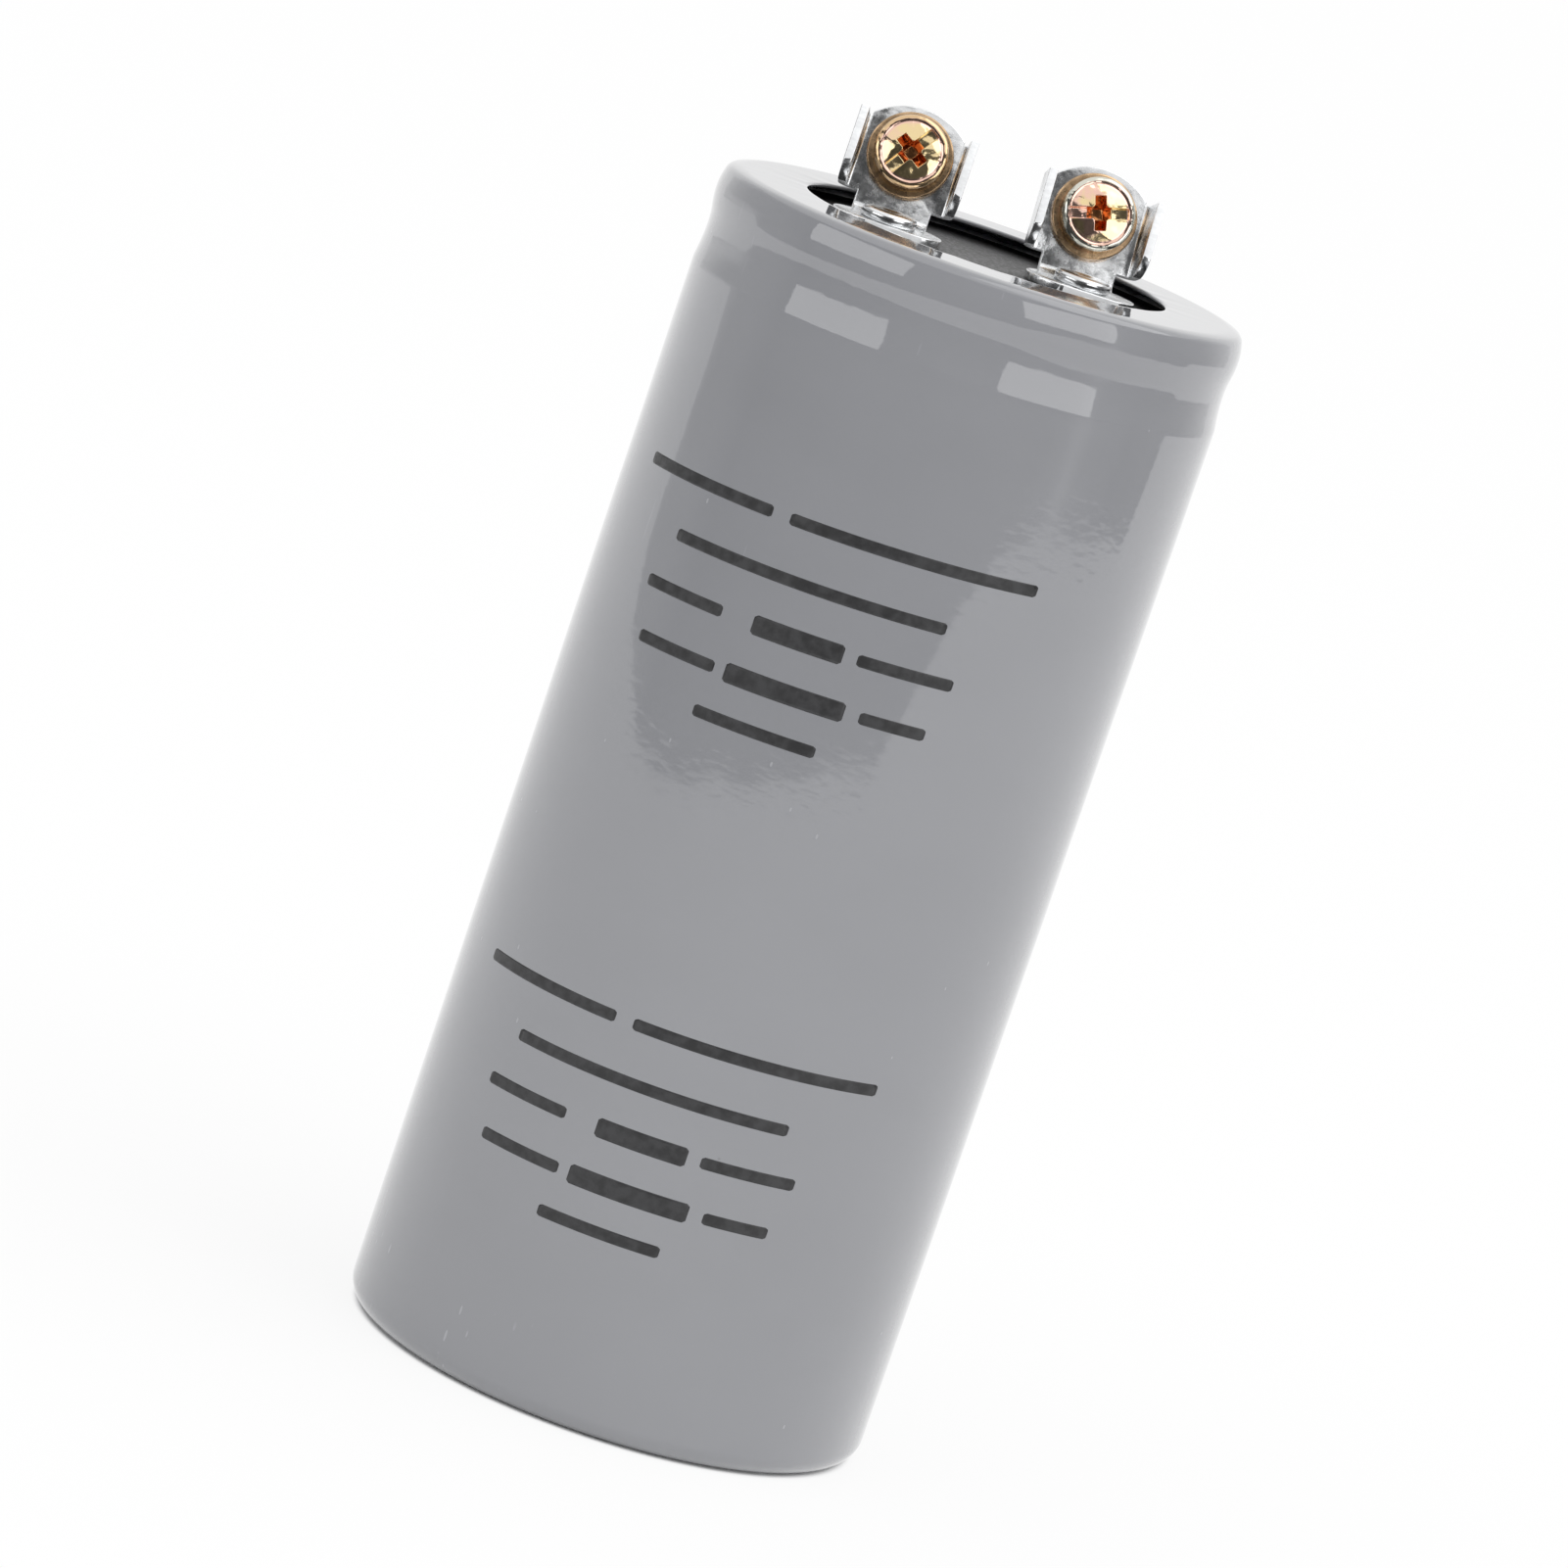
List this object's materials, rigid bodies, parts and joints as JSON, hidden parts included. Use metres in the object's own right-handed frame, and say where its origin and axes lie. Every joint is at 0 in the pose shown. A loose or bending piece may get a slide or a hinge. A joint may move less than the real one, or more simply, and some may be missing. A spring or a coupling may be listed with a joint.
{
  "type": "motor start capacitor",
  "caption": "Cylindrical motor start capacitor in a grey shrink sleeve, with a black rubber-faced header and folded screw terminals on top.",
  "frame": {"origin": "middle of the base, at the level that it stands on", "axes": "+Z along the can towards the terminals, -Y the way the terminal screws face, +X to the right as seen by someone facing the screws"},
  "size_m": [0.05, 0.05, 0.1204],
  "materials": {
    "sleeve": "glossy grey PVC film",
    "aluminium": "drawn, satin",
    "laminate": "phenolic laminate",
    "rubber": "black, slightly rough",
    "tinned_steel": "bright tin plate",
    "rivet_metal": "bright",
    "yellow_zinc": "yellow chromated zinc plate",
    "washer_zinc": "dull yellow chromated zinc plate",
    "foil_paper": "wound foil and paper",
    "pressboard": "pressed board"
  },
  "bodies": {
    "root": {"outer_sleeve": "sleeve", "can": "aluminium", "header_disc": "laminate", "seal_disc": "rubber", "terminal_left": "tinned_steel", "terminal_right": "tinned_steel", "rivet_left": "rivet_metal", "rivet_right": "rivet_metal", "screw_left": "yellow_zinc", "screw_right": "yellow_zinc", "screw_washer_left": "washer_zinc", "screw_washer_right": "washer_zinc", "burr_washer_left": "rivet_metal", "burr_washer_right": "rivet_metal", "lead_tab_left": "aluminium", "lead_tab_right": "aluminium", "wound_element": "foil_paper", "base_pad": "pressboard"}
  },
  "joints": []
}
